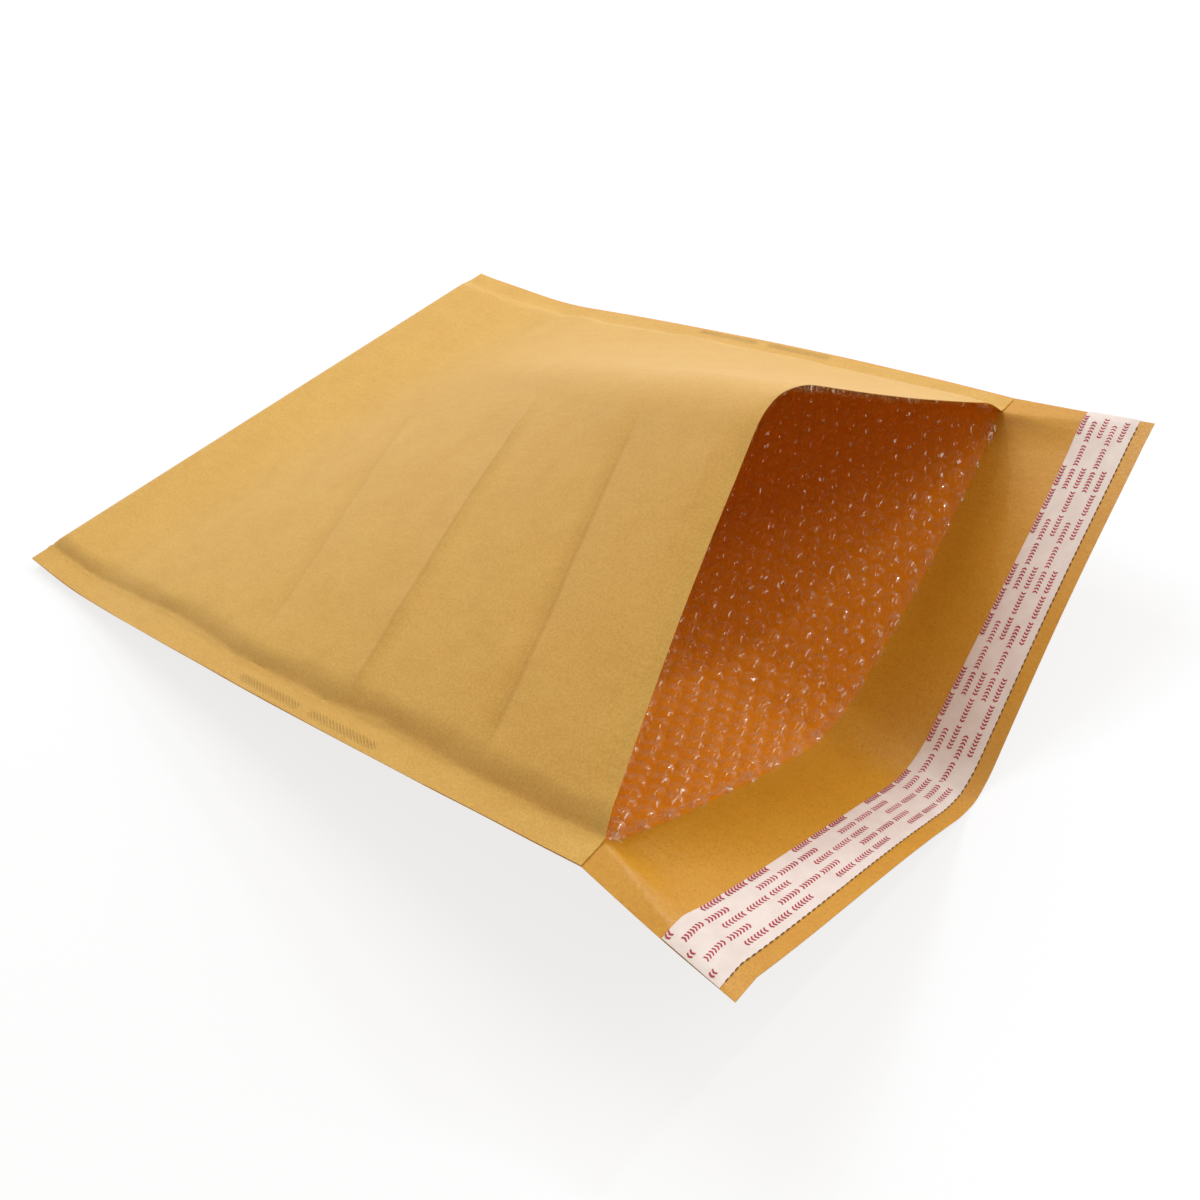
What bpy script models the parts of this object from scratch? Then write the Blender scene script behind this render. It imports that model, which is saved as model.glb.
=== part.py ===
"""Padded kraft envelope with a bubble film lining, lying open at its mouth.

The envelope is drawn as flat sheets first. A place on a sheet is given by its
distance across from the near seam edge and its distance along from the closed
fold. Height profiles lift the two panels apart towards the mouth, and each
panel keeps its flat width and length as it is lifted.
"""

import math

import bmesh
import bpy
import numpy as np

# Flat sizes of the envelope
WIDTH = 0.370
LENGTH = 0.480
FLAP_LENGTH = 0.071
SEAM_BAND = 0.014

# Thickness of the layers, from outside in
KRAFT_WALL = 0.0004
LAYER_GAP = 0.0003
FILM_BACKING = 0.0004
BUBBLE_HEIGHT = 0.004
BUBBLE_PITCH = 0.01047
POCKET_GAP = 0.0006

# Rounded rims of the padded part, beside the seams and at the closed fold,
# and the share of a rim that its steep part takes
SEAM_RISE = 0.012
FOLD_RISE = 0.009
STEEP_SHARE = 0.55

# The lining sits back from the mouth, and each layer ends short of the last
LINING_SETBACK = 0.002
LAYER_STEP = 0.0012
FOLD_STEP = 0.001
BUBBLED_PITCHES = 6

# Heights of the open mouth above the table
NEAR_SEAM_HEIGHT = 0.078
FAR_SEAM_HEIGHT = 0.063
CROWN_HEIGHT = 0.148
NEAR_LIP_HEIGHT = 0.064
FAR_LIP_HEIGHT = 0.076

# Where the closed end stops lying flat at each edge, and how softly it turns up
NEAR_REST = 0.025
FAR_REST = 0.068
LIFT_EASE = 0.057

# Fold lines of the raised panels, measured from the near edge
CROWN_AT_FOLD = 0.292
CROWN_AT_MOUTH = 0.202
CROWN_ROUND = 0.022
TROUGH_AT_FOLD = 0.189
TROUGH_AT_MOUTH = 0.175
TROUGH_AT_LIP = 0.171
TROUGH_ROUND = 0.019

# Bow of the flanks between a fold line and an edge
BACK_NEAR_BOW = -0.002
BACK_FAR_BOW = -0.005
FRONT_FAR_BOW = -0.002
LIP_NEAR_BOW = 0.007
LIP_FAR_BOW = 0.006

# How far the near edge is drawn in at the mouth, and the skew of the mouth
NEAR_EDGE_DRAW = 0.0134
DRAW_POWER = 1.87
NEAR_CORNER_SKEW = 0.006
FAR_CORNER_SKEW = -0.031
CROWN_SKEW = -0.017

# Adhesive band and its release liner on the flap
LINER_START = 0.038
LINER_WIDTH = 0.026
LINER_THICKNESS = 0.0003
ADHESIVE_MARGIN = 0.003
ADHESIVE_THICKNESS = 0.0003

# Spacing of the mesh between the named lines, cuts that a bubble's grid gets
# in each coarse face, and the columns of a lining panel's rim that stay plain
BODY_STEP = 0.070
TURN_STEPS = 3
BUBBLE_CUTS = 4
RIM_COLUMNS = 2

# Least share of a stretch's flat length that is left once it stands on a slope
LEAST_RUN = 0.2

# The pocket's layers from outside in, and the lines of the flap, counted from
# the mouth, between which the adhesive and its liner lie
COVER_FACE = 0
FILM_BACK = 1
FILM_FACE = 2
LINER_LINES = (2, 5)
ADHESIVE_LINES = (3, 4)

ROW_SPACING = BUBBLE_PITCH * math.sqrt(3.0) / 2.0
KRAFT_OFFSET = KRAFT_WALL + LAYER_GAP + FILM_BACKING + BUBBLE_HEIGHT + POCKET_GAP / 2.0
KRAFT_INSIDE = KRAFT_OFFSET - KRAFT_WALL
LINING_OUTSIDE = KRAFT_INSIDE - LAYER_GAP
LINING_INSIDE = LINING_OUTSIDE - FILM_BACKING
LINING_LENGTH = LENGTH - LINING_SETBACK
SMOOTH_ANGLE = math.radians(35.0)


def across_lines():
    """Distances across the sheet of the mesh lines, from the near edge."""
    padded = SEAM_BAND + SEAM_RISE
    rim = [0.0, SEAM_BAND, SEAM_BAND + LAYER_STEP, SEAM_BAND + 2.0 * LAYER_STEP,
           SEAM_BAND + STEEP_SHARE * SEAM_RISE]
    count = 2 * round((WIDTH - 2.0 * padded) / (4.0 * ROW_SPACING))
    middle = np.linspace(padded, WIDTH - padded, count + 1)
    return np.concatenate([rim, middle, WIDTH - np.array(rim)[::-1]])


def along_lines():
    """Distances along the body of the mesh lines, from the fold to the mouth."""
    rim = [0.0, FOLD_STEP, 2.0 * FOLD_STEP, 3.0 * FOLD_STEP, STEEP_SHARE * FOLD_RISE, FOLD_RISE]
    turn = np.linspace(NEAR_REST, max(NEAR_REST, FAR_REST) + LIFT_EASE, TURN_STEPS + 1)
    bubbled = LINING_LENGTH - BUBBLE_PITCH * np.arange(BUBBLED_PITCHES, -1, -2)
    count = max(1, round((bubbled[0] - turn[-1]) / BODY_STEP))
    body = np.linspace(turn[-1], bubbled[0], count + 1)[1:-1]
    return np.concatenate([rim, turn, body, bubbled, [LENGTH]])


def flap_lines():
    """Distances beyond the mouth of the mesh lines on the flap."""
    end = LINER_START + LINER_WIDTH
    return np.array([LINER_START / 2.0, LINER_START, LINER_START + ADHESIVE_MARGIN,
                     end - ADHESIVE_MARGIN, end, FLAP_LENGTH])


def rounded_fold(across, fold, ease, band=SEAM_BAND):
    """Height share of a sheet folded along one line: 1 at the fold, 0 in the bands."""
    left, right = band, WIDTH - band
    rise, fall = 1.0 / (fold - left), 1.0 / (right - fold)
    gap = across - fold
    reach = np.where(np.abs(gap) > ease, np.abs(gap), (gap * gap + ease * ease) / (2.0 * ease))
    share = 1.0 - 0.5 * (rise + fall) * reach - 0.5 * (fall - rise) * gap
    top = 1.0 - 0.25 * ease * ((rise + fall) - (fall - rise) ** 2 / (rise + fall))
    return np.clip(share / top, 0.0, None)


def flank_bows(across, fold, near_bow, far_bow, band=SEAM_BAND):
    """Bows of both flanks, each midway between the fold and its band."""
    total = np.zeros_like(across)
    for edge, bow in ((band, near_bow), (WIDTH - band, far_bow)):
        share = np.clip((across - edge) / (fold - edge), 0.0, 1.0)
        total += bow * 4.0 * share * (1.0 - share)
    return total


def lift(across, along):
    """Share of the mouth's heights over one row of a panel."""
    rest = NEAR_REST + (FAR_REST - NEAR_REST) * across / WIDTH
    past = np.clip(along - rest, 0.0, None)
    eased = np.where(past < LIFT_EASE, past * past / (2.0 * LIFT_EASE), past - LIFT_EASE / 2.0)
    return eased / (LENGTH - rest - LIFT_EASE / 2.0)


def seam_chord(across, near, far):
    """Height of the straight line from the near seam to the far seam."""
    return near + (far - near) * across / WIDTH


def body_heights(across, along):
    """Heights of the back and front panels at the middle of the seam's thickness."""
    near, far = NEAR_SEAM_HEIGHT - KRAFT_OFFSET, FAR_SEAM_HEIGHT - KRAFT_OFFSET
    crown_height = CROWN_HEIGHT - 2.0 * KRAFT_OFFSET
    back, front = [], []
    for distance in along:
        share = distance / LENGTH
        up = lift(across, distance)
        chord = seam_chord(across, near, far)
        trough = TROUGH_AT_FOLD + (TROUGH_AT_MOUTH - TROUGH_AT_FOLD) * share
        sink = seam_chord(trough, near, far) * rounded_fold(across, trough, TROUGH_ROUND)
        bow = flank_bows(across, trough, BACK_NEAR_BOW, BACK_FAR_BOW)
        back.append(up * (chord - sink + bow))
        crown = CROWN_AT_FOLD + (CROWN_AT_MOUTH - CROWN_AT_FOLD) * share
        rise = crown_height - seam_chord(crown, near, far)
        bow = flank_bows(across, crown, 0.0, FRONT_FAR_BOW)
        front.append(up * (chord + rise * rounded_fold(across, crown, CROWN_ROUND) + bow))
    return np.maximum(back, 0.0), np.array(front)


def flap_heights(across, beyond):
    """Heights of the flap, which carries the back panel past the mouth.

    The seam bands fade out along it, because nothing is sealed there.
    """
    rows = []
    for share in beyond / FLAP_LENGTH:
        near = NEAR_SEAM_HEIGHT + (NEAR_LIP_HEIGHT - NEAR_SEAM_HEIGHT) * share - KRAFT_OFFSET
        far = FAR_SEAM_HEIGHT + (FAR_LIP_HEIGHT - FAR_SEAM_HEIGHT) * share - KRAFT_OFFSET
        trough = TROUGH_AT_MOUTH + (TROUGH_AT_LIP - TROUGH_AT_MOUTH) * share
        band = SEAM_BAND * (1.0 - share)
        sink = seam_chord(trough, near, far) * rounded_fold(across, trough, TROUGH_ROUND, band)
        near_bow = BACK_NEAR_BOW + (LIP_NEAR_BOW - BACK_NEAR_BOW) * share
        far_bow = BACK_FAR_BOW + (LIP_FAR_BOW - BACK_FAR_BOW) * share
        bow = flank_bows(across, trough, near_bow, far_bow, band)
        rows.append(seam_chord(across, near, far) - sink + bow)
    return np.maximum(rows, 0.0)


def remaining_run(lengths, *moves):
    """Run left on each stretch of a sheet once it has moved in other directions."""
    squares = lengths * lengths - sum(move * move for move in moves)
    return np.sqrt(np.maximum(squares, (LEAST_RUN * lengths) ** 2))


def across_places(across, heights, start):
    """Sideways places that keep each row's flat width."""
    runs = remaining_run(np.diff(across)[None, :], np.diff(heights, axis=1))
    return start[:, None] + np.pad(np.cumsum(runs, axis=1), ((0, 0), (1, 0)))


def along_places(along, sideways, heights):
    """Lengthwise places that keep each column's flat length."""
    moves = np.diff(sideways, axis=0), np.diff(heights, axis=0)
    runs = remaining_run(np.diff(along)[:, None], *moves)
    return np.pad(np.cumsum(runs, axis=0), ((1, 0), (0, 0)))


def upward(points):
    """Unit directions square to a grid of points, on its upper side."""
    along, across = np.gradient(points, axis=0), np.gradient(points, axis=1)
    square = np.cross(along, across)
    return square / np.linalg.norm(square, axis=2, keepdims=True)


def middle_surfaces(across, along, beyond):
    """Middle surfaces of the back sheet, with its flap, and of the front sheet."""
    back_z, front_z = body_heights(across, along)
    last = len(along)
    back_z = np.vstack([back_z, flap_heights(across, beyond)])
    whole = np.concatenate([along, LENGTH + beyond])
    share = np.minimum(whole / LENGTH, 1.0)
    start = NEAR_EDGE_DRAW * share ** DRAW_POWER
    back_y = across_places(across, back_z, start)
    front_y = across_places(across, front_z, start[:last])
    # Both sheets end on the same far seam, midway between where each would end
    reach = np.clip((across - SEAM_BAND) / (WIDTH - 2.0 * SEAM_BAND), 0.0, 1.0)
    miss = (front_y[:, -1] - back_y[:last, -1]) / 2.0
    front_y -= miss[:, None] * reach
    back_y += np.pad(miss, (0, len(beyond)), mode="edge")[:, None] * reach
    back_x = along_places(whole, back_y, back_z)
    front_x = along_places(along, front_y, front_z)
    skew = NEAR_CORNER_SKEW + (FAR_CORNER_SKEW - NEAR_CORNER_SKEW) * across / WIDTH
    back_x += share[:, None] * skew
    crown = CROWN_SKEW * 4.0 * reach * (1.0 - reach)
    front_x += share[:last, None] * (skew + crown)
    back = np.stack([back_x, back_y, back_z + KRAFT_OFFSET], axis=2)
    front = np.stack([front_x, front_y, front_z + KRAFT_OFFSET], axis=2)
    return back, front


def raised(points, height):
    """A grid of points moved straight up by a height, or by a grid of heights."""
    moved = points.copy()
    moved[..., 2] += height
    return moved


def rim_share(distance, start, stop):
    """Rounded rise of a padded rim: 0 up to its start, 1 from its stop on."""
    share = np.clip((distance - start) / (stop - start), 0.0, 1.0)
    return 1.0 - (1.0 - share) ** 2


def padding(across, along, seam_start, fold_start):
    """Share of the full padding over the sheet, for a layer that starts there."""
    from_seam = np.minimum(across, WIDTH - across)
    sides = rim_share(from_seam, seam_start, SEAM_BAND + SEAM_RISE)
    fold = rim_share(along, fold_start, FOLD_RISE)
    return np.minimum(sides[None, :], fold[:, None])


class Sheets:
    """The middle surfaces on their mesh lines, and the layers laid on them."""

    def __init__(self):
        self.across = across_lines()
        self.along = along_lines()
        self.beyond = flap_lines()
        self.rows = len(self.along)
        self.back, self.front = middle_surfaces(self.across, self.along, self.beyond)
        self.back_up, self.front_up = upward(self.back), upward(self.front)
        pad = padding(self.across, self.along, SEAM_BAND, 0.0)
        outside = KRAFT_WALL + KRAFT_INSIDE * pad
        share = (self.beyond / FLAP_LENGTH)[:, None]
        flap = KRAFT_OFFSET - (KRAFT_OFFSET - outside[-1]) * (1.0 - share) ** 2
        below = np.vstack([outside, flap])
        self.outer_back = raised(self.back, -below)
        self.outer_front = raised(self.front, outside)
        self.flap_top = raised(self.outer_back[self.rows - 1:], KRAFT_WALL)
        shell = np.vstack([self.outer_back.reshape(-1, 3), self.outer_front.reshape(-1, 3)])
        low, high = shell.min(axis=0), shell.max(axis=0)
        self.origin = np.array([(low[0] + high[0]) / 2.0, (low[1] + high[1]) / 2.0, low[2]])

    def pocket(self, layer, depth, rows):
        """Back and front grids of one pocket layer, which meet along its rims.

        Each layer starts one mesh line further in from the seams and the fold.
        """
        seam_start = SEAM_BAND + layer * LAYER_STEP
        first = layer + 1
        pad = padding(self.across, self.along, seam_start, first * FOLD_STEP)
        part = np.s_[first:rows, first:len(self.across) - first]
        back = raised(self.back[:self.rows], -depth * pad)[part]
        front = raised(self.front, depth * pad)[part]
        for rim in (np.s_[:, 0], np.s_[:, -1], np.s_[0, :]):
            meeting = (back[rim] + front[rim]) / 2.0
            back[rim] = meeting
            front[rim] = meeting
        return back, front

    def flap_layer(self, lines, columns, height):
        """Grid of points at a height above some of the flap's lines and columns."""
        return raised(self.flap_top[lines[0]:lines[1] + 1, columns], height)


class Body:
    """One closed body under construction."""

    def __init__(self, origin):
        self.mesh = bmesh.new()
        self.origin = origin
        layers = self.mesh.verts.layers
        self.bubble_layers = (layers.float.new("row"), layers.float.new("place"),
                              layers.float_vector.new("inward"))

    def point(self, place):
        """Add one point."""
        return self.mesh.verts.new(tuple(place - self.origin))

    def grid(self, places):
        """Add a grid of points."""
        return [[self.point(place) for place in row] for row in places]

    def pocket(self, places):
        """Add the back and front grids of a pocket layer, joined along its rims."""
        back, front = self.grid(places[0]), []
        for j, row in enumerate(places[1]):
            if j == 0:
                front.append(list(back[0]))
                continue
            inner = [self.point(place) for place in row[1:-1]]
            front.append([back[j][0]] + inner + [back[j][-1]])
        return back, front

    def strip(self, low, high, middle=None):
        """Join two rows of points with triangles.

        Every layer is cut the same way, and the far half mirrors the near half.
        """
        turn = (len(low) - 1) // 2 if middle is None else middle
        for i in range(len(low) - 1):
            near = i < turn
            start, end = (low[i], high[i + 1]) if near else (high[i], low[i + 1])
            self.mesh.faces.new([start, end, low[i + 1] if near else low[i]])
            self.mesh.faces.new([start, end, high[i] if near else high[i + 1]])

    def cover(self, grid):
        """Add the faces of a grid, row by row."""
        for low, high in zip(grid, grid[1:]):
            self.strip(low, high)

    def cover_bubbled(self, grid, rim):
        """Add a grid's faces, and return those inside its rim, which stay whole."""
        inside = []
        for low, high in zip(grid, grid[1:]):
            self.strip(low[:rim + 1], high[:rim + 1], middle=rim)
            self.strip(low[-rim - 1:], high[-rim - 1:], middle=0)
            inside += [self.mesh.faces.new([low[i], low[i + 1], high[i + 1], high[i]])
                       for i in range(rim, len(low) - 1 - rim)]
        return inside

    def finish(self, name, material, collection):
        """Turn the body into a named object with its faces pointing out."""
        bmesh.ops.recalc_face_normals(self.mesh, faces=self.mesh.faces)
        if self.mesh.calc_volume(signed=True) < 0.0:
            bmesh.ops.reverse_faces(self.mesh, faces=self.mesh.faces)
        mesh = bpy.data.meshes.new(name)
        self.mesh.to_mesh(mesh)
        self.mesh.free()
        mesh.shade_smooth()
        mesh.set_sharp_from_angle(angle=SMOOTH_ANGLE)
        mesh.materials.append(material)
        part = bpy.data.objects.new(name, mesh)
        collection.objects.link(part)
        return part


def make_cover(sheets, material, collection):
    """Kraft cover: front panel, back panel with its flap, and the sealed bands."""
    body = Body(sheets.origin)
    outer_back = body.grid(sheets.outer_back)
    outer_front = body.grid(sheets.outer_front)
    inner_back, inner_front = body.pocket(sheets.pocket(COVER_FACE, KRAFT_INSIDE, sheets.rows))
    corners = [body.point(sheets.flap_top[0, 0]), body.point(sheets.flap_top[0, -1])]
    flap_top = [[corners[0]] + inner_back[-1] + [corners[1]]]
    flap_top += body.grid(sheets.flap_top[1:])
    mouth_edge = [corners[0]] + inner_front[-1] + [corners[1]]
    for grid in (outer_back, outer_front, inner_back, inner_front, flap_top):
        body.cover(grid)
    body.strip(outer_back[0], outer_front[0])
    body.strip(outer_front[-1], mouth_edge)
    body.strip(outer_back[-1], flap_top[-1])
    mouth = sheets.rows - 1
    for side, corner in zip((0, -1), corners):
        below = [row[side] for row in outer_back]
        above = [row[side] for row in outer_front]
        body.strip(below[:mouth], above[:mouth])
        body.mesh.faces.new([below[mouth - 1], below[mouth], corner, above[mouth], above[mouth - 1]])
        body.strip(below[mouth:], [row[side] for row in flap_top])
    return body.finish("kraft_cover", material, collection)


def cover_lining_panel(body, grid, inward):
    """Cover a lining panel's inside, and return the faces of its bubbled end."""
    rows, places, pointing = body.bubble_layers
    first = len(grid) - 1 - BUBBLED_PITCHES // 2
    body.cover(grid[:first + 1])
    for j in range(first, len(grid)):
        for i in range(RIM_COLUMNS, len(grid[j]) - RIM_COLUMNS):
            point = grid[j][i]
            point[rows] = BUBBLE_CUTS * (i - RIM_COLUMNS)
            point[places] = BUBBLE_CUTS * (j - first)
            point[pointing] = tuple(inward[j][i])
    return body.cover_bubbled(grid[first:], RIM_COLUMNS)


def raise_bubbles(body, faces, columns):
    """Cut the marked faces into a fine grid and lift every bubble's peak."""
    rows, places, pointing = body.bubble_layers
    edges = list({edge for face in faces for edge in face.edges})
    cuts = bmesh.ops.subdivide_edges(body.mesh, edges=edges, cuts=BUBBLE_CUTS - 1,
                                     use_grid_fill=True)
    last_row = BUBBLE_CUTS * columns
    last_place = BUBBLE_CUTS * (BUBBLED_PITCHES // 2)
    for point in {item for item in cuts["geom_inner"] if isinstance(item, bmesh.types.BMVert)}:
        row, place = round(point[rows]), round(point[places])
        inside = 0 < row < last_row and 0 < place < last_place
        if inside and row % 2 == 0 and (place + row // 2) % 2 == 0:
            point.co += point[pointing].normalized() * BUBBLE_HEIGHT


def make_lining(sheets, material, collection):
    """Bubble film lining: one folded film pocket with its bubbles facing inward."""
    body = Body(sheets.origin)
    rows = sheets.rows - 1
    outer_back, outer_front = body.pocket(sheets.pocket(FILM_BACK, LINING_OUTSIDE, rows))
    inner_back, inner_front = body.pocket(sheets.pocket(FILM_FACE, LINING_INSIDE, rows))
    body.cover(outer_back)
    body.cover(outer_front)
    body.strip(outer_back[-1][1:-1], inner_back[-1])
    body.strip(outer_front[-1][1:-1], inner_front[-1])
    for side, beside in ((0, 1), (-1, -2)):
        body.mesh.faces.new([outer_back[-1][side], outer_back[-1][beside],
                             inner_back[-1][side], outer_front[-1][beside]])
    rim = FILM_FACE + 1
    inside = np.s_[rim:rows, rim:-rim]
    bubbled = cover_lining_panel(body, inner_back, sheets.back_up[inside])
    bubbled += cover_lining_panel(body, inner_front, -sheets.front_up[inside])
    raise_bubbles(body, bubbled, len(inner_back[0]) - 1 - 2 * RIM_COLUMNS)
    return body.finish("bubble_lining", material, collection)


def make_flap_layer(sheets, name, lines, columns, height, thickness, material, collection):
    """A thin flat layer along the flap, between two of its lines."""
    body = Body(sheets.origin)
    low = body.grid(sheets.flap_layer(lines, columns, height))
    high = body.grid(sheets.flap_layer(lines, columns, height + thickness))
    body.cover(low)
    body.cover(high)
    body.strip(low[0], high[0])
    body.strip(low[-1], high[-1])
    for side in (0, -1):
        body.strip([row[side] for row in low], [row[side] for row in high])
    return body.finish(name, material, collection)


def finish_material(name, colour, roughness):
    """A plain finish with the colour and roughness of one layer."""
    material = bpy.data.materials.new(name)
    material.use_nodes = True
    shader = material.node_tree.nodes["Principled BSDF"]
    shader.inputs["Base Color"].default_value = (*colour, 1.0)
    shader.inputs["Roughness"].default_value = roughness
    shader.inputs["Metallic"].default_value = 0.0
    return material


def main():
    """Build the padded envelope."""
    for item in list(bpy.data.objects):
        bpy.data.objects.remove(item, do_unlink=True)
    collection = bpy.data.collections.new("padded_envelope")
    bpy.context.scene.collection.children.link(collection)
    sheets = Sheets()
    make_cover(sheets, finish_material("kraft_paper", (0.62, 0.37, 0.12), 0.62), collection)
    make_lining(sheets, finish_material("bubble_film", (0.60, 0.34, 0.14), 0.22), collection)
    make_flap_layer(sheets, "adhesive_strip", ADHESIVE_LINES, np.s_[1:-1], LAYER_GAP,
                    ADHESIVE_THICKNESS, finish_material("adhesive", (0.72, 0.62, 0.42), 0.30),
                    collection)
    make_flap_layer(sheets, "release_liner", LINER_LINES, np.s_[:],
                    2.0 * LAYER_GAP + ADHESIVE_THICKNESS, LINER_THICKNESS,
                    finish_material("release_liner", (0.78, 0.66, 0.64), 0.40), collection)


main()
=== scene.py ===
"""Dresses the padded kraft envelope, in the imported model's frame, for rendering.

The envelope is drawn as flat sheets. A place on a sheet is its distance across
from the near seam edge and its distance along from the closed fold, in metres.
The form bends the sheets to the shape in which the empty envelope lies, with
its mouth spread and its flap open.
"""

import logging
import math
from dataclasses import dataclass
from enum import Enum

import bpy
import numpy as np
from bpy.types import Material, Node, NodeSocket, Object, World
from mathutils import Matrix, Vector


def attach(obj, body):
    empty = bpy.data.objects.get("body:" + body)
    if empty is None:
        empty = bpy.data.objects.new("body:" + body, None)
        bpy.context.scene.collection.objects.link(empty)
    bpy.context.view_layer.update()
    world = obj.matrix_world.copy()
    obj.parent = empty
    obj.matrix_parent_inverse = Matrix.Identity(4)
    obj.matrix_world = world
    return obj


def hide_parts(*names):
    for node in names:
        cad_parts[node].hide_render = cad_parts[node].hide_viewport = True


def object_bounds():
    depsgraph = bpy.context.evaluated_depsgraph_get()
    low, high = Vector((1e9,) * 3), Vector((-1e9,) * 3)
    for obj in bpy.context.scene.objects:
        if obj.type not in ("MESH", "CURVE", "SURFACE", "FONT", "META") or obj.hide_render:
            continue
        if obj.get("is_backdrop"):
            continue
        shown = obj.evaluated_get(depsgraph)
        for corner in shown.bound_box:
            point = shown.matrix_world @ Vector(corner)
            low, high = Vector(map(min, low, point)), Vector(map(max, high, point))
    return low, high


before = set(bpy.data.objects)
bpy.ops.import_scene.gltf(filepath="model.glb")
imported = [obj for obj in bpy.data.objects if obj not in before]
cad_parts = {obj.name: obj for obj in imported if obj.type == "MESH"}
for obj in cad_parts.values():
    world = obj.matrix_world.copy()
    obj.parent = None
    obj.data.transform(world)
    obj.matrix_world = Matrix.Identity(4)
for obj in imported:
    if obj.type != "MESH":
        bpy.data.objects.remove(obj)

LOG = logging.getLogger("padded_envelope")
SHEET_MAP = "Sheet"
WHITE = (1.0, 1.0, 1.0, 1.0)
Value = NodeSocket | float | tuple[float, ...]


class Panel(Enum):
    """The two panels of the envelope. The back panel carries the flap."""

    BACK = -1.0
    FRONT = 1.0


def wander(places: np.ndarray, wavelength: float, seed: int) -> np.ndarray:
    """Smooth irregular wave along a line, the same on each run.

    Args:
        places: Places along the line, in metres.
        wavelength: Length of the longest of its waves, in metres.
        seed: Number that picks the wave's shape.

    Returns:
        Values from about -1 to 1, one for each place.
    """
    picks = np.random.default_rng(seed)
    total = np.zeros(np.shape(places))
    for order in range(1, 5):
        turn = 2.0 * math.pi * order * picks.uniform(0.8, 1.25) / wavelength
        total = total + np.sin(turn * np.asarray(places) + picks.uniform(0.0, 6.28)) / order
    return total / 1.8


def between(first: float, last: float, share: float) -> float:
    """Value at a share of the way from the first to the last."""
    return first + (last - first) * share


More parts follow.
